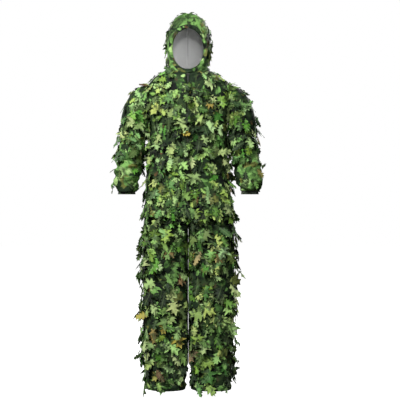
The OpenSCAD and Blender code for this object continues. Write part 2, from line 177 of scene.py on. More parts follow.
class Nodes:
    """Short ways to add shader nodes to one new material."""

    def __init__(self, name):
        self.material = bpy.data.materials.new(name)
        self.material.use_nodes = True
        self.tree = self.material.node_tree
        self.shader = self.tree.nodes["Principled BSDF"]

    def feed(self, node, key, value):
        """Links a socket, or sets a plain value. A colour may leave out its alpha."""
        if hasattr(value, "links"):
            self.tree.links.new(value, node.inputs[key])
        elif isinstance(value, tuple) and len(node.inputs[key].default_value) == 4:
            node.inputs[key].default_value = (*value, 1)
        else:
            node.inputs[key].default_value = value

    def node(self, kind, inputs=(), **settings):
        node = self.tree.nodes.new("ShaderNode" + kind)
        for key, value in settings.items():
            setattr(node, key, value)
        for key, value in dict(inputs).items():
            self.feed(node, key, value)
        return node.outputs

    def attribute(self, name):
        return self.node("Attribute", attribute_name=name)["Vector"]

    def split(self, vector):
        return self.node("SeparateXYZ", {0: vector})

    def stretch(self, vector, scale):
        return self.node("VectorMath", {0: vector, 1: scale}, operation="MULTIPLY")[0]

    def shift(self, vector, other):
        return self.node("VectorMath", {0: vector, 1: other}, operation="ADD")[0]

    def noise(self, vector, scale, detail=3, distortion=0.0, output="Fac"):
        inputs = {"Vector": vector, "Scale": scale, "Detail": detail, "Distortion": distortion}
        return self.node("TexNoise", inputs)[output]

    def cells(self, vector, scale):
        """Distance to the nearest cell centre, and that cell's own random number."""
        cell = self.node("TexVoronoi", {"Vector": vector, "Scale": scale})
        return cell["Distance"], self.split(cell["Color"])[0]

    def recolour(self, colour, hue, saturation):
        return self.node("HueSaturation", {"Hue": hue, "Saturation": saturation, "Color": colour})[0]

    def math(self, operation, *values):
        return self.node("Math", enumerate(values), operation=operation)[0]

    def ramp(self, value, stops, how="LINEAR"):
        """Colours along a value. A plain number among the stops is a grey."""
        ramp = self.tree.nodes.new("ShaderNodeValToRGB")
        ramp.color_ramp.interpolation = how
        elements = ramp.color_ramp.elements
        while len(elements) < len(stops):
            elements.new(0.5)
        for element, (place, colour) in zip(elements, stops):
            element.position = place
            element.color = (*(colour if isinstance(colour, tuple) else (colour,) * 3), 1)
        self.feed(ramp, 0, value)
        return ramp.outputs[0]

    def mix(self, share, a, b):
        return self.node("Mix", {0: share, 6: a, 7: b}, data_type="RGBA")[2]

    def bump(self, *layers):
        """A normal from (height, strength, distance) layers, finest last."""
        inputs = {}
        for height, strength, distance in layers:
            inputs.update({"Strength": strength, "Distance": distance, "Height": height})
            inputs["Normal"] = self.node("Bump", inputs)[0]
        self.feed(self.shader, "Normal", inputs["Normal"])

    def weave(self, place, pitch):
        """Height of a plain weave with that thread pitch, from the rest position."""
        parts = self.split(self.stretch(place, (2 * math.pi / pitch,) * 3))
        along = self.math("SINE", self.math("ADD", parts[0], parts[1]))
        up = self.math("SINE", parts[2])
        return self.math("MULTIPLY", along, up)

    def finish(self, colour, roughness, sheen=0.0, metallic=0.0):
        for key, value in (("Base Color", colour), ("Roughness", roughness), ("Sheen Weight", sheen),
                           ("Specular IOR Level", 0.2), ("Metallic", metallic)):
            self.feed(self.shader, key, value)
        return self.material


BLACK_GREEN = (0.0045, 0.0065, 0.0055)
DARK_GREEN = (0.014, 0.032, 0.012)
MID_GREEN = (0.070, 0.165, 0.037)
BRIGHT_GREEN = (0.190, 0.390, 0.100)
PALE_GREEN = (0.380, 0.580, 0.210)
OLIVE = (0.180, 0.200, 0.050)
GOLD = (0.430, 0.350, 0.110)
MUD = (0.060, 0.048, 0.022)
RUST = (0.110, 0.065, 0.028)
LINING_GREY = (0.80, 0.80, 0.80)
WEAVE_PITCH = 0.0011
LEAF_WEAVE_PITCH = 0.0009


def forest_print(n, place, scale=1.0, cover=0.0):
    """Printed forest floor: near-black ground under ragged leaf shapes in several greens and rust."""
    broad = n.stretch(n.noise(place, 9 * scale, 2, output="Color"), (0.08, 0.08, 0.08))
    fine = n.stretch(n.noise(place, 70 * scale, 3, output="Color"), (0.02, 0.02, 0.02))
    moved = n.shift(n.shift(place, broad), fine)
    colour = n.ramp(n.noise(moved, 26 * scale, 4),
                    [(0.36, BLACK_GREEN), (0.50, DARK_GREEN), (0.60, (0.030, 0.055, 0.018)), (0.72, MUD)])
    for size, offset, edge in ((17, (0.3, 0.1, 0.7), 0.56 + cover), (30, (0.9, 0.4, 0.2), 0.49 + cover)):
        at = n.shift(moved, offset)
        distance, own = n.cells(at, size * scale)
        leaf = n.ramp(own, [(0.00, BLACK_GREEN), (0.20 - cover, DARK_GREEN), (0.34 - cover, MID_GREEN),
                            (0.50 - cover, BRIGHT_GREEN), (0.74, PALE_GREEN), (0.90, OLIVE), (0.97, RUST)],
                      "CONSTANT")
        leaf = n.mix(n.ramp(n.noise(moved, 60 * scale, 3), [(0.45, 0), (0.62, 0.75)]), leaf, DARK_GREEN)
        ragged = n.math("ADD", distance, n.math("MULTIPLY", n.noise(at, 9 * scale, 2), 0.35))
        colour = n.mix(n.ramp(ragged, [(edge, 1), (edge + 0.03, 0)]), colour, leaf)
    return colour


def cloth_material(name, scale=1.0, cover=0.0):
    n = Nodes(name)
    place = n.attribute("rest")
    # Painted shade: the print is darkened towards black where the fold value is low, in the bottoms of folds,
    # grooves and seams.
    fold_shade = n.split(n.attribute("surface"))[0]
    printed = forest_print(n, place, scale, cover)
    colour = n.mix(n.ramp(fold_shade, [(0.15, 0.75), (0.55, 0)]), printed, BLACK_GREEN)
    lumps = n.noise(place, 60, 3)
    n.bump((lumps, 0.5, 0.002), (n.weave(place, WEAVE_PITCH), 0.35, 0.0002))
    return n.finish(colour, n.ramp(lumps, [(0.3, 0.72), (0.7, 0.88)]))


def lining_material():
    """Unprinted back of the cloth, pale grey with the print showing faintly through."""
    n = Nodes("lining")
    place = n.attribute("rest")
    faint = n.mix(0.06, LINING_GREY, forest_print(n, place))
    colour = n.mix(n.ramp(n.noise(place, 14, 3), [(0.35, 0.18), (0.7, 0)]), faint, (0.55, 0.56, 0.56))
    n.bump((n.noise(place, 45, 3), 0.4, 0.002), (n.weave(place, WEAVE_PITCH), 0.35, 0.0002))
    return n.finish(colour, 0.8, 0.1)


def leaf_material():
    """Die-cut printed leaf: own tint, pale midrib and side veins, mottled print, darker cut edge."""
    n = Nodes("leaf_cloth")
    inside = n.split(n.attribute("leaf_place"))
    own = n.split(n.attribute("leaf_own"))
    place = n.attribute("rest")
    base = n.ramp(own[0], [(0.00, BLACK_GREEN), (0.20, DARK_GREEN), (0.38, MID_GREEN),
                           (0.56, (0.125, 0.270, 0.063)), (0.74, BRIGHT_GREEN), (0.88, PALE_GREEN),
                           (0.92, OLIVE), (0.96, GOLD), (0.99, RUST)])
    hue = n.math("MULTIPLY_ADD", own[1], 0.070, 0.450)
    base = n.recolour(base, hue, n.math("MULTIPLY_ADD", own[2], 0.35, 0.85))
    printed = n.ramp(n.noise(place, 19, 2, 0.8), [(0.53, 0), (0.59, 0.8)])
    colour = n.mix(printed, base, forest_print(n, place, 1.3))
    blotch = n.noise(place, 40, 4, 0.6)
    colour = n.mix(n.ramp(blotch, [(0.35, 0.80), (0.46, 0)]), colour, DARK_GREEN)
    across = n.math("ABSOLUTE", inside[0])
    slanted = n.math("SUBTRACT", inside[1], n.math("MULTIPLY", across, 0.45))
    comb = n.math("FRACT", n.math("MULTIPLY", slanted, 6.0))
    branch = n.math("ABSOLUTE", n.math("SUBTRACT", comb, 0.5))
    side_vein = n.ramp(branch, [(0.03, 0.45), (0.09, 0)])
    midrib = n.ramp(across, [(0.012, 0.8), (0.035, 0)])
    vein = n.math("MAXIMUM", side_vein, midrib)
    colour = n.mix(n.math("MULTIPLY", vein, 0.14), colour, PALE_GREEN)
    colour = n.mix(n.ramp(inside[2], [(0.80, 0), (1.0, 0.55)]), colour, DARK_GREEN)
    n.bump((vein, 0.5, 0.0008), (n.weave(place, LEAF_WEAVE_PITCH), 0.3, 0.0002))
    return n.finish(colour, n.ramp(blotch, [(0.3, 0.5), (0.7, 0.68)]), 0.04)


def knit_material(name, colour, pitch=0.0028, print_share=0.0):
    """Ribbed knit, rubbed paler in patches, with the print over it where print_share is given."""
    n = Nodes(name)
    place = n.attribute("rest")
    rib = n.math("SINE", n.math("MULTIPLY", n.split(n.attribute("surface"))[1], 2 * math.pi / pitch))
    worn = n.mix(n.ramp(n.noise(place, 90, 3), [(0.4, 0), (0.75, 0.5)]), colour,
                 tuple(2.2 * c + 0.01 for c in colour))
    if print_share:
        worn = n.mix(print_share, worn, forest_print(n, place, 1.2))
    n.bump((rib, 0.7, 0.0006), (n.noise(place, 900, 2), 0.4, 0.0003))
    return n.finish(worn, 0.85, 0.3)


def solid_material(name, colour, worn, metallic, roughness):
    """Hard small parts: base finish with scratches and edges rubbed to another colour."""
    n = Nodes(name)
    edges = n.ramp(n.node("NewGeometry")["Pointiness"], [(0.50, 0), (0.56, 1)])
    scratch = n.noise(n.stretch(n.node("TexCoord")["Object"], (1, 1, 0.2)), 900, 4)
    rub = n.math("MULTIPLY", edges, n.ramp(scratch, [(0.35, 0.2), (0.6, 1)]))
    n.bump((scratch, 0.25, 0.0001))
    rough = n.ramp(scratch, [(0.3, roughness), (0.7, roughness + 0.15)])
    return n.finish(n.mix(rub, colour, worn), rough, metallic=metallic)


MATERIALS = {
    "cloth": cloth_material("printed_cloth"),
    "hem": cloth_material("hem_cloth", 1.2, 0.08),
    "hood": cloth_material("hood_cloth", 0.95, 0.24),
    "forearm": cloth_material("forearm_cloth", 0.9, 0.22),
    "lining": lining_material(),
    "leaf": leaf_material(),
    "cuff": knit_material("cuff_knit", (0.010, 0.014, 0.008), print_share=0.55),
    "elastic": knit_material("elastic", (0.030, 0.030, 0.030)),
    "tape": knit_material("zip_tape", (0.020, 0.028, 0.015), 0.0016),
    "thread": knit_material("thread", (0.110, 0.150, 0.070), 0.0006),
    "plastic": solid_material("zip_plastic", (0.02, 0.024, 0.02), (0.05, 0.055, 0.05), 0.0, 0.6),
    "metal": solid_material("zip_metal", (0.012, 0.013, 0.012), (0.10, 0.10, 0.09), 0.3, 0.55),
}


# ------ numbers and noise

def smooth(t):
    t = np.clip(t, 0, 1)
    return t * t * (3 - 2 * t)


def noise(points, seed=0):
    """Smooth value noise from 0 to 1 at each point, one feature a unit."""
    cell = np.floor(points).astype(np.int64)
    part = points - cell
    part = part * part * (3 - 2 * part)
    total = np.zeros(points.shape[:-1])
    for corner in range(8):
        offset = np.array([corner & 1, corner >> 1 & 1, corner >> 2 & 1])
        key = ((cell + offset) * np.array([73856093, 19349663, 83492791])).sum(-1) + seed * 2654435761
        key = (key ^ (key >> 13)) * 1274126177 & 0xFFFFFFFF
        value = ((key ^ (key >> 16)) & 0xFFFF) / 65535.0
        total += value * np.prod(np.where(offset, part, 1 - part), -1)
    return total


def ridges(points, seed=0):
    """Sharp-topped folds from 0 to 1."""
    return 1 - np.abs(2 * noise(points, seed) - 1)


def xyz(x, y, z):
    return np.stack([x, y, z], -1)


# ------ cloth surfaces taken from the CAD shells

REACH = 0.42


def tree_of(*names):
    points, faces = [], []
    for name in names:
        mesh = frame["nodes"][name].data
        start = len(points)
        points += [v.co.copy() for v in mesh.vertices]
        faces += [[start + i for i in p.vertices] for p in mesh.polygons]
    return BVHTree.FromPolygons(points, faces)


def blur(values, times, wrap):
    """Averages each row and column with its neighbours."""
    for _ in range(times):
        padded = np.concatenate([values[:, -1:], values, values[:, :1]], 1) if wrap else \
            np.concatenate([values[:, :1], values, values[:, -1:]], 1)
        values = (padded[:, :-2] + 2 * padded[:, 1:-1] + padded[:, 2:]) / 4
        padded = np.concatenate([values[:1], values, values[-1:]], 0)
        values = (padded[:-2] + 2 * padded[1:-1] + padded[2:]) / 4
    return values


class Surface:
    """A grid of cloth points, rows going up and columns going round, counter-clockwise from above."""

    def __init__(self, tree, rows, angles, wrap=True, smoothing=3):
        self.wrap = wrap
        radii = np.full((len(rows), len(angles)), np.nan)
        heading = np.zeros((len(rows), len(angles), 3))
        centres = np.array([row[0] for row in rows], float)
        for r, (centre, u, v, w) in enumerate(rows):
            for c, a in enumerate(angles):
                d = Vector(u) * math.cos(a) + Vector(v) * math.sin(a) + Vector(w)
                d.normalize()
                heading[r, c] = d
                hit = tree.ray_cast(Vector(centre) + d * REACH, -d)[0]
                if hit is not None and (hit - Vector(centre)).dot(d) > 0.012:
                    radii[r, c] = (hit - Vector(centre)).dot(d)
        self.hole = np.isnan(radii)
        for r in range(len(rows)):
            good = ~self.hole[r]
            if not good.all() and good.any():
                radii[r] = np.interp(angles, np.array(angles)[good], radii[r][good], period=2 * math.pi)
        found = ~np.isnan(radii).any(1)
        for c in range(len(angles)):
            radii[:, c] = np.interp(np.arange(len(rows)), np.flatnonzero(found), radii[found, c])
        radii = blur(radii, smoothing, wrap)
        self.grid = centres[:, None, :] + heading * radii[..., None]
        self.rest = self.grid.copy()
        # Painted fold shade of each point: 1 (no painted shade) until folds are pushed in.
        self.fold_shade = np.ones(radii.shape)

    def tangents(self):
        along = np.gradient(self.grid, axis=0)
        if self.wrap:
            around = (np.roll(self.grid, -1, 1) - np.roll(self.grid, 1, 1)) / 2
        else:
            around = np.gradient(self.grid, axis=1)
        return around, along

    def normals(self):
        around, along = self.tangents()
        normal = np.cross(around, along)
        return normal / np.maximum(np.linalg.norm(normal, axis=-1, keepdims=True), 1e-12)

    def push(self, height, fold_shade=None):
        """Moves the cloth along its normals. The second value is 0 in the bottom of a fold and 1 on top; it
        sets the painted shade that darkens the cloth's colour in the fold bottoms.
        """
        self.grid = self.grid + self.normals() * height[..., None]
        if fold_shade is not None:
            self.fold_shade = np.minimum(self.fold_shade, fold_shade)

    def offset(self, distance):
        """A copy of the surface, moved along its normals by one distance."""
        moved = copy.copy(self)
        moved.grid = self.grid + self.normals() * distance
        return moved

    def frames(self, rows, columns):
        """(points, across, up, out) at fractional row and column numbers."""
        count = self.grid.shape[1]
        around, along = self.tangents()
        stacked = np.concatenate([self.grid, around, along], -1)
        r0 = np.clip(np.floor(rows).astype(int), 0, self.grid.shape[0] - 2)
        c0 = np.floor(columns).astype(int)
        c1 = (c0 + 1) % count if self.wrap else np.clip(c0 + 1, 0, count - 1)
        c0 = c0 % count if self.wrap else np.clip(c0, 0, count - 1)
        fr = (rows - r0)[:, None]
        fc = (columns - np.floor(columns))[:, None]
        value = (stacked[r0, c0] * (1 - fr) + stacked[r0 + 1, c0] * fr) * (1 - fc) + \
            (stacked[r0, c1] * (1 - fr) + stacked[r0 + 1, c1] * fr) * fc
        point, across, up = value[:, :3], value[:, 3:6], value[:, 6:]
        across /= np.linalg.norm(across, axis=1, keepdims=True)
        out = np.cross(across, up)
        out /= np.linalg.norm(out, axis=1, keepdims=True)
        return point, across, np.cross(out, across), out


def link_mesh(name, points, faces, materials, face_material=None, **vectors):
    """A new smooth object. vectors are point attributes, by name."""
    mesh = bpy.data.meshes.new(name)
    mesh.from_pydata([tuple(p) for p in points], [], [tuple(f) for f in faces])
    for material in materials:
        mesh.materials.append(MATERIALS[material])
    if face_material is not None:
        mesh.polygons.foreach_set("material_index", np.array(face_material, np.int32))
    mesh.polygons.foreach_set("use_smooth", np.ones(len(mesh.polygons), bool))
    for key, values in vectors.items():
        attribute = mesh.attributes.new(key, "FLOAT_VECTOR", "POINT")
        attribute.data.foreach_set("vector", np.ascontiguousarray(values, np.float32).ravel())
    obj = bpy.data.objects.new(name, mesh)
    bpy.context.scene.collection.objects.link(obj)
    return obj


def shell(name, surface, keep, thickness=0.0014, outside="cloth", inside="lining"):
    """A closed skin over the kept cells of a surface, with its own inner face and cut edges."""
    grid = surface.grid
    rows, columns = grid.shape[:2]
    count = rows * columns
    outer = grid.reshape(-1, 3)
    inner = (grid - surface.normals() * thickness).reshape(-1, 3)
    spans = columns if surface.wrap else columns - 1
    index = np.arange(count).reshape(rows, columns)
    a = index[:-1, :spans]
    b = np.roll(index, -1, 1)[:-1, :spans]
    c = np.roll(index, -1, 1)[1:, :spans]
    d = index[1:, :spans]
    kept = keep[:rows - 1, :spans]
    quads = np.stack([a[kept], b[kept], c[kept], d[kept]], 1)
    edges = {}
    for q in quads.tolist():
        for k in range(4):
            pair = (q[k], q[(k + 1) % 4])
            if (pair[1], pair[0]) in edges:
                del edges[(pair[1], pair[0])]
            else:
                edges[pair] = True
    walls = [(j, i, i + count, j + count) for i, j in edges]
    faces = np.concatenate([quads, quads[:, ::-1] + count] + ([np.array(walls)] if walls else []))
    used, flat = np.unique(faces, return_inverse=True)
    faces = flat.reshape(faces.shape)
    points = np.concatenate([outer, inner])[used]
    slots = [0] * len(quads) + [1] * len(quads) + [0] * len(walls)
    rest = surface.rest.reshape(-1, 3)
    around = np.tile(np.arange(columns) / columns, rows) * np.linalg.norm(
        np.roll(grid, -1, 1) - grid, axis=-1).sum(1).mean()
    # First value: the painted fold shade; second: the distance round, for the knit's ribs.
    extra = xyz(surface.fold_shade.ravel(), around, np.zeros(count))
    obj = link_mesh(name, points, faces, [outside, inside], slots,
                    rest=np.concatenate([rest, rest])[used], surface=np.concatenate([extra, extra])[used])
    return obj


def lift_shoulders(surface):
    """Raises the cloth over the shoulders, where the CAD cloth lies lower than the suit's outline."""
    x, z = np.abs(surface.grid[..., 0]), surface.grid[..., 2]
    over = smooth((x - 0.05) / 0.08) * smooth((0.40 - x) / 0.14) * smooth((z - 0.27) / 0.14)
    surface.grid[..., 2] += SHOULDER_LIFT * over


def level_rows(bottom, top, spacing, centre):
    """Level rows from one height to another round a centre line, centre(z) giving x and y."""
    steps = max(2, round((top - bottom) / spacing)) + 1
    rows = []
    for z in np.linspace(bottom, top, steps):
        x, y = centre(z)
        rows.append(((x, y, z), (1, 0, 0), (0, 1, 0), (0, 0, 0)))
    return rows


def turn(count, start=-90.0, span=360.0, closed=True):
    return [math.radians(start + span * k / (count if closed else count - 1)) for k in range(count)]


def heights(surface):
    return surface.rest[..., 2]


# ------ jacket body

EDGE = 0.0005
GRID = 0.0055
SHOULDER_LIFT = 0.022
CROWN_LIFT = 0.024
HEM_FLARE = 0.010
JACKET_HEM_BAND = 0.028
ZIP_HALF_TURN = 3.6
JACKET_COLUMNS = 190
torso = Surface(tree_of("front_panel_left", "front_panel_right", "back_panel"),
                level_rows(JACKET_HEM_Z + EDGE, NECK_Z - EDGE, GRID, lambda z: (0, 0)),
                turn(JACKET_COLUMNS, -90 + ZIP_HALF_TURN, 360 - 2 * ZIP_HALF_TURN, False), False)


def torso_folds():
    p = torso.rest
    x, z = np.abs(p[..., 0]), p[..., 2]
    broad = ridges(p * (7, 7, 4) + 3, 1)
    drag = ridges(xyz(p[..., 0] * 9 + z * 5, p[..., 1] * 9, z * 13 - x * 8), 2)
    neck = smooth((z - NECK_Z + 0.11) / 0.08) * (p[..., 1] < 0.02)
    chin = ridges(xyz(p[..., 0] * 4, p[..., 1] * 4, z * 42 - x * 24), 3)
    height = 0.007 * (broad - 0.6) + 0.005 * (drag - 0.6) * (1 - neck) + 0.010 * (chin - 0.6) * neck
    # The second value paints shade into the bottoms of these folds.
    torso.push(height, smooth((drag * (1 - neck) + 0.75 * chin * neck + broad) / 1.3))
    flare = smooth((JACKET_HEM_Z + 0.11 - z) / 0.10) * smooth((x - 0.03) / 0.07)
    torso.push(HEM_FLARE * flare)
    hem = np.exp(-((z - JACKET_HEM_Z - JACKET_HEM_BAND) / 0.004) ** 2)
    # Sinks a groove along the hem stitching, with painted shade in it.
    torso.push(-0.002 * hem, 1 - 0.6 * hem)


lift_shoulders(torso)
torso_folds()
torso_hole = torso.hole & (heights(torso) > JACKET_HEM_Z + 0.3) & (np.abs(torso.rest[..., 0]) > 0.1)
column_angle = np.degrees(np.arctan2(torso.rest[..., 1], torso.rest[..., 0]))
for piece, node, test in (
        ("jacket_front_left", "front_panel_left", (column_angle < 0) & (column_angle >= -90)),
        ("jacket_front_right", "front_panel_right", column_angle < -90),
        ("jacket_back", "back_panel", column_angle >= 0)):
    cloth = shell(piece, torso, test & ~torso_hole)
    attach(cloth, "jacket")
    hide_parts(node)
hem_casing = shell("jacket_hem_casing", torso.offset(0.0022),
                   heights(torso) < JACKET_HEM_Z + JACKET_HEM_BAND, 0.0018, "hem")
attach(hem_casing, "jacket")
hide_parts("jacket_hem_band")


# ------ hood and neck

HOOD_CENTRE_Z = FACE_MID_Z + 0.04
HOOD_COLUMNS = 120
FACE_HALF_W = (RIM_BOX[1][0] - RIM_BOX[0][0]) / 2 - 0.007
FACE_HALF_H = (RIM_BOX[1][2] - RIM_BOX[0][2]) / 2 - 0.007


def hood_rows():
    rows = level_rows(NECK_Z - 0.006, HOOD_CENTRE_Z, 0.004, lambda z: (0, 0))
    for lift in np.linspace(2.5, 88, 36):
        rise = math.radians(lift)
        rows.append(((0, 0, HOOD_CENTRE_Z), (math.cos(rise), 0, 0), (0, math.cos(rise), 0),
                     (0, 0, math.sin(rise))))
    return rows


hood = Surface(tree_of("neck_fold", "hood_left", "hood_right"), hood_rows(), turn(HOOD_COLUMNS))


def face_reach(p):
    """Below 1 inside the face opening, above 1 outside it or at the back."""
    reach = np.hypot(p[..., 0] / FACE_HALF_W, (p[..., 2] - FACE_MID_Z) / FACE_HALF_H)
    return np.where(p[..., 1] < 0, reach, 9.0)


def hood_folds():
    p = hood.rest
    z = p[..., 2]
    sag = ridges(xyz(p[..., 0] * 10, p[..., 1] * 10 + z * 8, z * 9), 5)
    neck = 1 - smooth((z - NECK_Z - 0.01) / 0.06)
    gather = ridges(xyz(p[..., 0] * 4, p[..., 1] * 4, z * 42 - np.abs(p[..., 0]) * 24), 3)
    height = 0.006 * (sag - 0.6) + neck * 0.010 * (gather - 0.6)
    # The second value paints shade into the bottoms of these folds.
    hood.push(height, smooth((sag * (1 - neck) + neck * gather) / 1.1))
    seam = np.exp(-(p[..., 0] / 0.0035) ** 2) * (z > FACE_MID_Z)
    # Sinks a groove along the centre seam, with painted shade in it.
    hood.push(-0.002 * seam, 1 - 0.6 * seam)


crown_rise = smooth((hood.rest[..., 2] - FACE_MID_Z - FACE_HALF_H - 0.006) / 0.055)
hood.grid[..., 2] += CROWN_LIFT * crown_rise
lift_shoulders(hood)
hood_folds()


def bend_hood(piece):
    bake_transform(piece)


open_face = face_reach(hood.rest) < 1.03
is_neck = heights(hood) < HOOD_BASE_Z
for piece, node, test in (("hood_left_half", "hood_left", ~is_neck & (hood.rest[..., 0] >= -1e-6)),
                          ("hood_right_half", "hood_right", ~is_neck & (hood.rest[..., 0] < -1e-6)),
                          ("neck_cloth", "neck_fold", is_neck)):
    cloth = shell(piece, hood, test & ~open_face, 0.0022, "hood")
    bend_hood(cloth)
    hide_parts(node)


# ------ sleeves

SLEEVE_SPLIT_Z = ELBOW_Z + 0.060
ARMPIT_Z = SHOULDER_FOLD[0][2] + 0.011
ARMHOLE_X = SHOULDER_FOLD[0][0]
SLEEVE_OVERHANG = 0.012
sleeves = {}


def fan_row(side, tilt, inner, outer):
    """Row of the shoulder that turns about the armpit, from level at 90 degrees to upright at 0."""
    out = Vector((side * math.sin(tilt), 0, math.cos(tilt)))
    centre = Vector((side * ARMHOLE_X, 0, ARMPIT_Z)) + out * (inner + outer) / 2
    return tuple(centre), tuple(out * side), (0, 1, 0), (0, 0, 0)


def sleeve_centre(tree, side):
    def centre(z):
        outer = tree.ray_cast(Vector((side * 0.6, 0, z)), Vector((-side, 0, 0)))[0]
        inner = tree.ray_cast(Vector((side * 0.16, 0, z)), Vector((side, 0, 0)))[0]
        return ((outer[0] + inner[0]) / 2, 0)
    return centre


def sleeve_surface(name, side):
    tree = tree_of(*(f"{name}_{part}" for part in (
        "cuff", "forearm_sleeve", "elbow_fold", "upper_sleeve", "shoulder_fold")))
    rows = level_rows(CUFF_TOP_Z - SLEEVE_OVERHANG, ARMPIT_Z - 0.012, 0.004, sleeve_centre(tree, side))
    rows += [fan_row(side, math.radians(t), 0.005, 0.120 + 0.038 * (1 - math.sin(math.radians(t))))
             for t in np.linspace(90, 0.5, 34)]
    surface = Surface(tree, rows, turn(96), True, 2)
    first = next(k for k, row in enumerate(rows) if row[0][2] > CUFF_TOP_Z + 0.008)
    full = surface.grid[first, :, :2]
    for k in range(first):
        shrink = 1 - 0.12 * (1 - k / first) ** 2
        surface.grid[k, :, :2] = full.mean(0) + (full - full.mean(0)) * shrink
    ring = surface.grid[-1]
    middle = ring.mean(0)
    tucked = [middle + (ring - middle) * shrink - np.array([side * depth, 0, 0])
              for shrink, depth in ((0.985, 0.004), (0.97, 0.012))]
    surface.grid = np.concatenate([surface.grid, tucked])
    surface.rest = surface.grid.copy()
    surface.fold_shade = np.ones(surface.grid.shape[:2])
    return surface


def sleeve_folds(surface, side):
    p = surface.rest
    z = p[..., 2]
    fore = smooth((ELBOW_Z - z + 0.03) / 0.09)
    cross = ridges(xyz(p[..., 0] * 4, p[..., 1] * 4 + 5, z * 44 + p[..., 0] * 16 * side), 7 + side)
    fine = ridges(xyz(p[..., 0] * 16, p[..., 1] * 16, z * 78), 17 + side)
    drape = ridges(p * (11, 11, 8), 27 + side)
    shape = cross * 0.65 + fine * 0.35
    # The second value paints shade into the bottoms of these folds.
    surface.push(0.022 * fore * (shape - 0.6) + 0.007 * (drape - 0.6),
                 smooth((shape - 0.15) / 0.40) * fore + smooth(drape / 0.8) * (1 - fore))


for name, side in SIDES.items():
    surface = sleeve_surface(name, side)
    lift_shoulders(surface)
    sleeve_folds(surface, side)
    sleeves[name] = surface


def bend_shoulder(piece):
    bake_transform(piece)


def bend_elbow(piece):
    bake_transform(piece)


for name, surface in sleeves.items():
    row_z = surface.rest[:, :, 2].min(1)
    split_row = int(np.argmax(row_z > SLEEVE_SPLIT_Z))
    row_number = np.arange(surface.grid.shape[0])[:, None] + np.zeros(surface.grid.shape[:2])
    upper = shell(f"{name}_sleeve_upper", surface, row_number >= split_row)
    bend_shoulder(upper)
    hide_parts(f"{name}_shoulder_fold", f"{name}_upper_sleeve")
    lower = shell(f"{name}_sleeve_lower", surface, row_number < split_row, outside="forearm")
    bend_elbow(lower)
    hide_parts(f"{name}_elbow_fold", f"{name}_forearm_sleeve")


def make_cuff(name, side):
    tree = tree_of(f"{name}_cuff")
    middle = (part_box(f"{name}_cuff")[0][0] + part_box(f"{name}_cuff")[1][0]) / 2
    rows = level_rows(CUFF_LOW_Z + EDGE, CUFF_TOP_Z - 0.001, 0.0022, lambda z: (middle, 0))
    surface = Surface(tree, rows, turn(168), True, 1)
    angle = np.arctan2(surface.rest[..., 1], surface.rest[..., 0] - middle)
    wave = np.abs(np.sin(angle * 17 + 1.5 * np.sin(3 * angle + side)))
    edge = smooth(np.abs(surface.rest[..., 2] - (CUFF_LOW_Z + CUFF_TOP_Z) / 2) / 0.013)
    surface.push(0.0032 * (wave - 0.6) * (0.6 + 0.4 * edge) - 0.0015 * (1 - edge), 0.3 + 0.7 * wave)
    cuff = shell(f"{name}_cuff_knit", surface, np.ones(surface.grid.shape[:2], bool), 0.002, "cuff", "cuff")
    bend_elbow(cuff)
    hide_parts(f"{name}_cuff")


for name, side in SIDES.items():
    make_cuff(name, side)


# ------ trousers

CROTCH_Z = SEAT_LOW_Z - 0.05
LEG_GAP = 0.0008
LEG_HEM_BAND = 0.026
legs = {}


def leg_surface(name, side):
    tree = tree_of(*(f"{name}_{part}" for part in (
        "leg_hem", "shin_front", "shin_back", "knee_fold", "thigh_front", "thigh_back", "hip_fold")))
    middle = JOINT_AT[f"{name}_knee"][0]
    rows = level_rows(HEM_Z + EDGE, SEAT_LOW_Z - 0.002, GRID, lambda z: (middle, 0))
    surface = Surface(tree, rows, turn(112))
    z = surface.rest[..., 2]
    inner = smooth(side * (middle - surface.rest[..., 0]) / 0.09)
    near = side * surface.grid[..., 0]
    touching = smooth((z - HEM_Z - 0.08) / 0.06) * inner
    crotch = smooth((z - CROTCH_Z) / 0.045) * inner
    pulled = near - touching * 0.0065 - crotch * (near - 0.0065) * (near < 0.05)
    surface.grid[..., 0] = side * np.maximum(pulled, 0.0012)
    surface.rest = surface.grid.copy()
    return surface


def leg_folds(surface, side):
    p = surface.rest
    z = p[..., 2]
    foot = smooth((HEM_Z + 0.20 - z) / 0.16)
    knee = np.exp(-((z - KNEE_Z) / 0.11) ** 2)
    drape = ridges(p * (9, 9, 4.5), 31 + side)
    cross = ridges(xyz(p[..., 0] * 7, p[..., 1] * 8, z * 24 + p[..., 0] * 6), 41 + side)
    stack = ridges(xyz(p[..., 0] * 9 + z * 6, p[..., 1] * 9, z * 33), 51 + side)
    height = 0.008 * (drape - 0.6) + (0.004 + 0.005 * knee) * (cross - 0.55) + 0.012 * foot * (stack - 0.55)
    # The second value paints shade into the bottoms of these folds.
    surface.push(height, smooth((drape * 0.6 + cross * 0.4 + stack * foot * 0.5) / 0.9))
    near = side * surface.grid[..., 0]
    close = smooth((z - HEM_Z - 0.08) / 0.06)
    gap = (near.min(1, keepdims=True) - LEG_GAP) * close
    surface.grid[..., 0] = side * np.maximum(near - gap * smooth(1 - near / 0.06), LEG_GAP * close)
    hem = np.exp(-((z - HEM_Z - LEG_HEM_BAND) / 0.004) ** 2)
    # Sinks a groove along the hem stitching, with painted shade in it.
    surface.push(-0.0025 * hem, 1 - 0.7 * hem)


for name, side in SIDES.items():
    surface = leg_surface(name, side)
    leg_folds(surface, side)
    legs[name] = surface


def bend_hip(piece):
    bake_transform(piece)


def bend_knee(piece):
    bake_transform(piece)


for name, surface in legs.items():
    z = heights(surface)
    front = surface.rest[..., 1] < 0
    hip = shell(f"{name}_leg_hip", surface, z >= THIGH_SPLIT_Z)
    bend_hip(hip)
    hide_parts(f"{name}_hip_fold")
    for half, test in (("front", front), ("back", ~front)):
        cloth = shell(f"{name}_leg_{half}", surface, (z < THIGH_SPLIT_Z) & test)
        bend_knee(cloth)
        extra = [f"{name}_knee_fold", f"{name}_leg_hem"] if half == "front" else []
        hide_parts(f"{name}_thigh_{half}", f"{name}_shin_{half}", *extra)


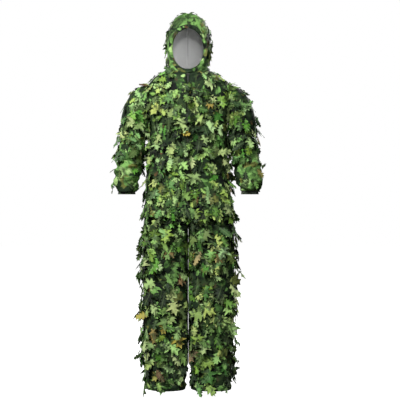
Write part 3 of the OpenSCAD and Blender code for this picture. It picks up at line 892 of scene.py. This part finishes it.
def make_seat():
    """The trouser seat with its gathered waist. Gives back its surface."""
    surface = Surface(tree_of("seat_front", "seat_back"),
                      level_rows(SEAT_LOW_Z + EDGE, WAIST_Z - EDGE, GRID, lambda z: (0, 0)), turn(180))
    p = surface.rest
    z = p[..., 2]
    angle = np.arctan2(p[..., 1], p[..., 0])
    waist = smooth((z - WAIST_Z + 0.075) / 0.045)
    gather = np.abs(np.sin(angle * 34 + 2 * np.sin(5 * angle)))
    drape = ridges(p * (8, 8, 5), 61)
    # The second value paints shade into the bottoms of these folds.
    surface.push(0.005 * (drape - 0.6) * (1 - waist) + 0.004 * waist * (gather - 0.7),
                 smooth((drape + waist * gather) / 1.1))
    for piece, test in (("trouser_seat_front", p[..., 1] < 0), ("trouser_seat_back", p[..., 1] >= 0)):
        cloth = shell(piece, surface, test)
        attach(cloth, "trousers")
        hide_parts(piece.replace("trouser_", ""))
    band = shell("waistband", surface.offset(0.0025), z > WAIST_Z - 0.042, 0.002, "hem", "hem")
    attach(band, "trousers")
    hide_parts("waistband_casing")
    inside = (z > WAIST_Z - 0.036) & (z < WAIST_Z - 0.006)
    elastic = shell("waist_elastic_band", surface.offset(-0.0035), inside, 0.0015, "elastic", "elastic")
    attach(elastic, "trousers")
    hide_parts("waist_elastic")
    return surface


seat = make_seat()


# ------ leaves

# Outlines of half a leaf from stalk to tip, (across, along) in leaf lengths
OAK = ((0.02, 0.0), (0.03, 0.12), (0.15, 0.15), (0.20, 0.23), (0.09, 0.28), (0.23, 0.38), (0.31, 0.48),
       (0.12, 0.48), (0.25, 0.62), (0.27, 0.72), (0.10, 0.68), (0.17, 0.83), (0.13, 0.91), (0.05, 0.87),
       (0, 1))
MAPLE = ((0.02, 0.0), (0.03, 0.14), (0.22, 0.08), (0.35, 0.15), (0.21, 0.24), (0.17, 0.30), (0.38, 0.34),
         (0.55, 0.50), (0.34, 0.50), (0.14, 0.49), (0.22, 0.66), (0.29, 0.78), (0.13, 0.75), (0.07, 0.84),
         (0, 1))
ELM = ((0.02, 0.0), (0.03, 0.10), (0.14, 0.20), (0.07, 0.24), (0.20, 0.38), (0.10, 0.42), (0.22, 0.56),
       (0.10, 0.59), (0.19, 0.74), (0.08, 0.76), (0.12, 0.88), (0, 1))
SPRIG = ((0.012, 0.0), (0.015, 0.18), (0.17, 0.32), (0.05, 0.30), (0.018, 0.42), (0.18, 0.62),
         (0.05, 0.56), (0.016, 0.68), (0.10, 0.86), (0.03, 0.84), (0, 1))
ACROSS = (-1, -0.5, 0, 0.5, 1)
LEAF_T = 0.0006


def leaf_template(outline):
    """Points (across, along, edge share) of one face of a leaf, its quads, and its rim in order."""
    last = len(outline) - 1
    points = [(c * x, k / last + abs(c) * (y - k / last), abs(c))
              for k, (x, y) in enumerate(outline) for c in ACROSS]
    wide = len(ACROSS)
    quads = [(k * wide + j, k * wide + j + 1, (k + 1) * wide + j + 1, (k + 1) * wide + j)
             for k in range(last) for j in range(wide - 1)]
    ring = [k * wide for k in range(last + 1)] + [last * wide + j for j in range(1, wide)] + \
        [k * wide + wide - 1 for k in range(last - 1, -1, -1)] + list(range(wide - 2, 0, -1))
    return np.array(points), np.array(quads), np.array(ring)


TEMPLATES = [leaf_template(outline) for outline in (OAK, MAPLE, ELM, SPRIG)]
LEAF_SHARES = (0.40, 0.38, 0.15, 0.07)
ZIP_ROOM = 0.0115
MIDDLE_ROOM = 0.0056
MIDDLE_GAP = 0.0004
SIDE_ROOM = 0.024
FRONT_ROOM = 0.014


def press(values, low_end, high_end, room):
    """Flattens what stands past either end, so that it never passes it by more than `room`."""
    over = np.maximum(values - high_end, 0)
    under = np.maximum(low_end - values, 0)
    return values - over + under + room * (1 - np.exp(-over / room)) - room * (1 - np.exp(-under / room))


class Leaves:
    """Collects leaves for one piece."""

    def __init__(self):
        self.points, self.faces, self.place, self.own, self.rest = [], [], [], [], []
        self.count = 0

    def add(self, point, across, up, out, length, lean, tilt, roll, droop, cup, curl, wrap, bend, tint, kind):
        template, quads, ring = TEMPLATES[kind]
        n = len(point)
        column = lambda value: value[:, None]
        x = template[None, :, 0] * column(length)
        s = template[None, :, 1]
        lift = column(length * np.sin(tilt)) * (s - column(droop) * s * s * 0.5)
        lift = lift - column(cup / length) * x * x
        ripple = np.sin(9 * s + 6 * tint[:, :1] + 2 * np.sign(x))
        lift = lift + column(curl * length) * template[None, :, 2] * ripple + x * column(np.sin(roll))
        x = x * column(np.cos(roll))
        y = -column(length * np.cos(tilt)) * s
        side = x * column(np.cos(lean)) - y * column(np.sin(lean))
        along = x * column(np.sin(lean)) + y * column(np.cos(lean))
        lift = np.maximum(lift, LEAF_T) - wrap * side * side - bend * along * along
        base = point[:, None] + across[:, None] * side[..., None] + up[:, None] * along[..., None]
        top = base + out[:, None] * (lift + LEAF_T)[..., None]
        back = base + out[:, None] * lift[..., None]
        count = template.shape[0]
        block = np.concatenate([top, back], 1)
        after = np.roll(ring, -1)
        wall = np.stack([ring, after, after + count, ring + count], 1)
        faces = np.concatenate([quads[:, ::-1], quads + count, wall])
        starts = self.count + np.arange(n)[:, None, None] * 2 * count
        self.faces.append((faces[None] + starts).reshape(-1, 4))
        self.points.append(block.reshape(-1, 3))
        self.place.append(np.tile(np.concatenate([template, template]), (n, 1)))
        self.own.append(np.repeat(tint, 2 * count, 0))
        shift = np.repeat(RANDOM.uniform(-3, 3, (n, 1, 3)), 2 * count, 1)
        self.rest.append((block + shift).reshape(-1, 3))
        self.count += n * 2 * count

    def clear_zip(self):
        """Lifts the leaves off the line that the zip slider runs along."""
        for points in self.points:
            near = np.exp(-(points[:, 0] / 0.014) ** 4) * (points[:, 1] < 0)
            points[:, 1] -= ZIP_ROOM * near

    def keep_off_middle(self, side):
        """Squeezes the leaves between the legs, so that neither leg's leaves pass the middle plane."""
        for points in self.points:
            near = side * points[:, 0]
            over = np.minimum(near - MIDDLE_ROOM - MIDDLE_GAP, 0)
            squeezed = MIDDLE_GAP + MIDDLE_ROOM * np.exp(over / MIDDLE_ROOM)
            points[:, 0] = side * np.where(over < 0, squeezed, near)

    def build(self, name, *nodes):
        """One object of all the leaves, in the place of those CAD nodes."""
        points = np.concatenate(self.points)
        points[:, 1] = press(points[:, 1], CAD_BOX[0][1], CAD_BOX[1][1], FRONT_ROOM)
        points[:, 0] = press(points[:, 0], CAD_BOX[0][0], CAD_BOX[1][0], SIDE_ROOM)
        obj = link_mesh(name, points, np.concatenate(self.faces), ["leaf"],
                        leaf_place=np.concatenate(self.place), leaf_own=np.concatenate(self.own),
                        rest=np.concatenate(self.rest))
        if nodes:
            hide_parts(*nodes)
        return obj


def scatter(surface, spacing, keep, rise):
    """Jittered places about `spacing` apart over a surface where keep(point) is true, moved up by `rise`."""
    step_up = np.linalg.norm(np.diff(surface.grid, axis=0), axis=-1).mean(1)
    travelled = np.concatenate([[0], np.cumsum(step_up)])
    rows, columns = [], []
    count = surface.grid.shape[1]
    for number, level in enumerate(np.arange(spacing * 0.5, travelled[-1], spacing)):
        row = np.interp(level, travelled, np.arange(len(travelled)))
        ring = surface.grid[int(row)]
        girth = np.linalg.norm(np.diff(ring, axis=0), axis=1).sum()
        places = max(3, int(girth / spacing))
        c = (np.arange(places) + 0.5 * (number % 2) + RANDOM.uniform(-0.34, 0.34, places)) / places * count
        r = row + RANDOM.uniform(-0.36, 0.36, places) * spacing / step_up.mean()
        rows.append(np.clip(r, 0, surface.grid.shape[0] - 1.01))
        columns.append(np.clip(c, 0, count - 1.01))
    rows, columns = np.concatenate(rows), np.concatenate(columns)
    chosen = keep(surface.frames(rows, columns)[0])
    raised = np.minimum(rows[chosen] + rise / step_up.mean(), surface.grid.shape[0] - 1.01)
    return surface.frames(raised, columns[chosen])


def dress(leaves, surface, spacing, keep, size=0.072, tilt=0.40, wrap=3.0, swing=0.75, bend=0.0):
    """Sews leaves over the kept part of a surface. wrap and bend curve them round and down it."""
    point, across, up, out = scatter(surface, spacing, keep, 0.3 * size)
    kinds = RANDOM.choice(len(TEMPLATES), len(point), p=LEAF_SHARES)
    streak = noise(point * (30, 30, 7), 91)
    for kind in range(len(TEMPLATES)):
        pick = kinds == kind
        n = int(pick.sum())
        if n == 0:
            continue
        r = RANDOM.uniform
        shade = 0.62 * r(0, 1, n) + 0.38 * streak[pick] + 0.06
        special = r(0, 1, n) < 0.05
        shade = np.where(special, r(0.89, 1.0, n), smooth((shade - 0.10) / 0.74) * 0.89)
        tint = np.stack([shade, r(0, 1, n), r(0, 1, n)], 1)
        flat = np.clip(1.6 * out[pick][:, 2], 0, 1)
        length = size * r(0.62, 1.18, n) ** 0.8 * (1 - 0.3 * flat)
        roots = point[pick] + out[pick] * r(0.0005, 0.003, n)[:, None]
        leaves.add(roots, across[pick], up[pick], out[pick], length,
                   RANDOM.normal(0, swing, n).clip(-2.4, 2.4), tilt * r(0.15, 1.5, n) * (1 - 0.8 * flat),
                   r(-0.5, 0.5, n), r(-0.4, 1.5, n), r(-0.6, 1.6, n), r(0.01, 0.07, n), wrap, bend,
                   tint, kind)


LEAF_PITCH = 0.035
LEG_PITCH = 0.038
HEM_PITCH = 0.023
LEG_LEAF = 0.082


def between(bottom, top):
    return lambda p: (p[:, 2] > bottom) & (p[:, 2] < top)


def dress_jacket():
    chest, back = Leaves(), Leaves()
    chin = lambda p: np.abs(p[:, 0]) < 0.085 * (p[:, 2] - NECK_Z + 0.085) / 0.085
    off_zip = lambda p: (p[:, 1] > 0) | (np.abs(p[:, 0]) > 0.012) & ~chin(p)
    off_hole = lambda p: np.abs(p[:, 0]) < ARMHOLE_X + 0.01
    body = between(JACKET_HEM_Z + 0.012, NECK_Z - 0.004)
    dress(chest, torso, LEAF_PITCH, lambda p: body(p) & (p[:, 1] < 0) & off_zip(p) & off_hole(p), wrap=1.2)
    dress(back, torso, LEAF_PITCH, lambda p: body(p) & (p[:, 1] >= 0) & off_hole(p), wrap=1.2)
    hem = between(JACKET_HEM_Z - 0.002, JACKET_HEM_Z + 0.034)
    dress(chest, torso, HEM_PITCH, lambda p: hem(p) & (p[:, 1] < 0), 0.074, 0.42, 1.2, 0.45)
    chest.clear_zip()
    dress(back, torso, HEM_PITCH, lambda p: hem(p) & (p[:, 1] >= 0), 0.074, 0.42, 1.2, 0.45)
    for place, leaves in (("chest", chest), ("back", back)):
        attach(leaves.build(f"leaves_on_{place}", f"{place}_leaves"), "jacket")


def dress_hood():
    crown = Leaves()
    dress(crown, hood, 0.026, lambda p: (p[:, 1] > -0.045) & (p[:, 2] > HOOD_BASE_Z + 0.005), 0.048, 0.34,
          bend=3.5)
    bend_hood(crown.build("leaves_on_hood", "hood_leaves"))


def dress_sleeve(name, side):
    surface = sleeves[name]
    upper, lower = Leaves(), Leaves()
    arm = lambda p: (p[:, 2] > SLEEVE_SPLIT_Z) & (side * p[:, 0] > ARMHOLE_X + 0.004)
    seam = lambda p: (side * p[:, 0] > ARMHOLE_X - 0.003) & (side * p[:, 0] < ARMHOLE_X + 0.03)
    dress(upper, surface, LEAF_PITCH, arm)
    dress(upper, surface, 0.028, lambda p: seam(p) & (p[:, 2] > ARMPIT_Z + 0.02), 0.062, 0.3)
    dress(lower, surface, LEAF_PITCH, between(ELBOW_Z - 0.04, SLEEVE_SPLIT_Z + 0.01))
    dress(lower, surface, 0.062, between(CUFF_TOP_Z + 0.045, ELBOW_Z - 0.04), 0.060, 0.36)
    dress(lower, surface, 0.045, between(CUFF_TOP_Z + 0.004, CUFF_TOP_Z + 0.035), 0.050, 0.3)
    bend_shoulder(upper.build(f"leaves_on_{name}_upper_sleeve", f"{name}_upper_sleeve_leaves"))
    bend_elbow(lower.build(f"leaves_on_{name}_forearm", f"{name}_forearm_leaves"))


def dress_leg(name, side):
    thigh, shin = Leaves(), Leaves()
    dress(thigh, legs[name], LEG_PITCH, between(THIGH_SPLIT_Z - 0.005, SEAT_LOW_Z - 0.004), LEG_LEAF)
    foot_gap = lambda p: (side * p[:, 0] < 0.022) & (p[:, 2] < HEM_Z + 0.13)
    shin_part = between(HEM_Z + 0.018, THIGH_SPLIT_Z + 0.005)
    dress(shin, legs[name], LEG_PITCH, lambda p: shin_part(p) & ~foot_gap(p), LEG_LEAF)
    thigh.keep_off_middle(side)
    shin.keep_off_middle(side)
    bend_hip(thigh.build(f"leaves_on_{name}_thigh", f"{name}_thigh_leaves"))
    bend_knee(shin.build(f"leaves_on_{name}_shin", f"{name}_shin_leaves"))


def dress_seat():
    skirt = Leaves()
    dress(skirt, seat, 0.026, between(SEAT_LOW_Z - 0.01, JACKET_HEM_Z + 0.012), 0.066, 0.26)
    dress(skirt, seat, 0.060, between(JACKET_HEM_Z + 0.03, WAIST_Z - 0.08), 0.040, 0.05)
    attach(skirt.build("leaves_on_seat"), "trousers")


dress_jacket()
dress_hood()
for name, side in SIDES.items():
    dress_sleeve(name, side)
    dress_leg(name, side)
dress_seat()


# ------ stitches

STITCH_HALF = 0.0017
STITCH_R = 0.00055
STITCH_PITCH = 0.0048
STITCH_RINGS = ((-1.0, 0.25), (-0.65, 1.0), (0.0, 1.15), (0.65, 1.0), (1.0, 0.25))
STITCH_SIDES = 6


def stitches(name, point, across, up, out):
    """Short thread stitches lying along `across`, one at each point."""
    blocks, turns = [], np.arange(STITCH_SIDES) * 2 * math.pi / STITCH_SIDES
    for along, swell in STITCH_RINGS:
        for angle in turns:
            blocks.append(point + across * (STITCH_HALF * along) + up * (STITCH_R * swell * math.cos(angle))
                          + out * (STITCH_R * (swell * math.sin(angle) + 0.4)))
    points = np.stack(blocks, 1)
    faces = []
    for ring in range(len(STITCH_RINGS) - 1):
        for k in range(STITCH_SIDES):
            a, b = ring * STITCH_SIDES + k, ring * STITCH_SIDES + (k + 1) % STITCH_SIDES
            faces.append((a, b, b + STITCH_SIDES, a + STITCH_SIDES))
    last = (len(STITCH_RINGS) - 1) * STITCH_SIDES
    for start, step in ((0, -1), (last, 1)):
        order = [start + k for k in range(STITCH_SIDES)][::step]
        faces += [(order[0], order[1], order[2], order[3]), (order[0], order[3], order[4], order[5])]
    faces = (np.array(faces)[None] + np.arange(len(point))[:, None, None] * points.shape[1]).reshape(-1, 4)
    points = points.reshape(-1, 3)
    twist = np.tile(np.repeat([r[0] * STITCH_HALF for r in STITCH_RINGS], STITCH_SIDES), len(point))
    return link_mesh(name, points, faces, ["thread"], rest=points,
                     surface=xyz(np.ones_like(twist), twist, twist))


def stitch_round(name, surface, z, lift):
    """A row of stitches round a surface at one height, `lift` above its cloth."""
    row = float(np.interp(z, heights(surface).mean(1), np.arange(len(surface.grid))))
    ring = surface.grid[int(row)]
    count = int(np.linalg.norm(np.diff(ring, axis=0), axis=1).sum() / STITCH_PITCH)
    last = surface.grid.shape[1] - (0 if surface.wrap else 1.01)
    point, across, up, out = surface.frames(np.full(count, row), np.arange(count) / count * last)
    return stitches(name, point + out * lift, across, up, out)


def make_stitches():
    for name in SIDES:
        bend_knee(stitch_round(f"{name}_leg_hem_stitches", legs[name], HEM_Z + 0.027, 0.0001))
    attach(stitch_round("jacket_hem_stitches", torso, JACKET_HEM_Z + 0.024, 0.0023), "jacket")
    for place, z in (("upper", WAIST_Z - 0.006), ("lower", WAIST_Z - 0.037)):
        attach(stitch_round(f"waistband_{place}_stitches", seat, z, 0.0026), "trousers")


make_stitches()


# ------ hood rim

RIM_TURNS = 220
RIM_WIDE = 0.0095
RIM_THICK = 0.0045


def hood_front_y(x, z):
    """The y of the hood's cloth in front of a point of the opening's edge."""
    flat = hood.rest.reshape(-1, 3)
    front = flat[(flat[:, 1] < 0) & (face_reach(flat) > 1.0)]
    near = np.argmin((front[:, 0] - x) ** 2 + (front[:, 2] - z) ** 2)
    return front[near, 1]


def rim_surface():
    angles = np.linspace(0, 2 * math.pi, RIM_TURNS, endpoint=False)
    x = (FACE_HALF_W + 0.003) * np.cos(angles)
    z = FACE_MID_Z + (FACE_HALF_H + 0.007) * np.sin(angles)
    y = np.array([hood_front_y(a, b) for a, b in zip(x, z)])
    for _ in range(12):
        y = (np.roll(y, 1) + 2 * y + np.roll(y, -1)) / 4
    path = np.stack([x, y - 0.004, z], 1)
    along = np.roll(path, -1, 0) - np.roll(path, 1, 0)
    along /= np.linalg.norm(along, axis=1, keepdims=True)
    outward = np.stack([np.cos(angles), np.zeros_like(angles), np.sin(angles)], 1)
    outward -= along * (outward * along).sum(1)[:, None]
    outward /= np.linalg.norm(outward, axis=1, keepdims=True)
    forward = np.cross(outward, along)
    return path, outward, forward, angles


def make_rim():
    path, outward, forward, angles = rim_surface()
    steps = 20
    rings = []
    for k in range(steps):
        t = 2 * math.pi * k / steps
        wide = RIM_WIDE * np.sign(math.cos(t)) * abs(math.cos(t)) ** 0.7
        thick = RIM_THICK * np.sign(math.sin(t)) * abs(math.sin(t)) ** 0.8
        gather = ridges(xyz(angles * 11, np.full_like(angles, wide * 60), np.zeros_like(angles)), 71)
        swell = 1 + 0.45 * (gather - 0.5)
        rings.append(path + outward * wide + forward * (thick * swell)[:, None])
    points = np.stack(rings, 1)
    index = np.arange(RIM_TURNS * steps).reshape(RIM_TURNS, steps)
    quads = np.stack([index, np.roll(index, -1, 1), np.roll(np.roll(index, -1, 0), -1, 1),
                      np.roll(index, -1, 0)], -1).reshape(-1, 4)
    points = points.reshape(-1, 3)
    rim = link_mesh("hood_rim_hem", points, quads, ["hem"], rest=points, surface=np.ones_like(points))
    bend_hood(rim)
    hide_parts("hood_rim")
    along = np.cross(forward, outward)
    thread = stitches("hood_rim_stitches", (path + outward * 0.0055 + forward * 0.0036)[::2],
                      along[::2], outward[::2], forward[::2])
    bend_hood(thread)


make_rim()


# ------ carried-over CAD nodes

for node, material in (("zip_tape_left", "tape"), ("zip_tape_right", "tape"), ("zip_end_box", "plastic"),
                       ("zip_slider", "metal"), ("zip_pull", "plastic"), ("hang_loop", "hem")):
    cad = frame["nodes"][node]
    cad.data.materials.clear()
    cad.data.materials.append(MATERIALS[material])

set_camera()
set_stage()
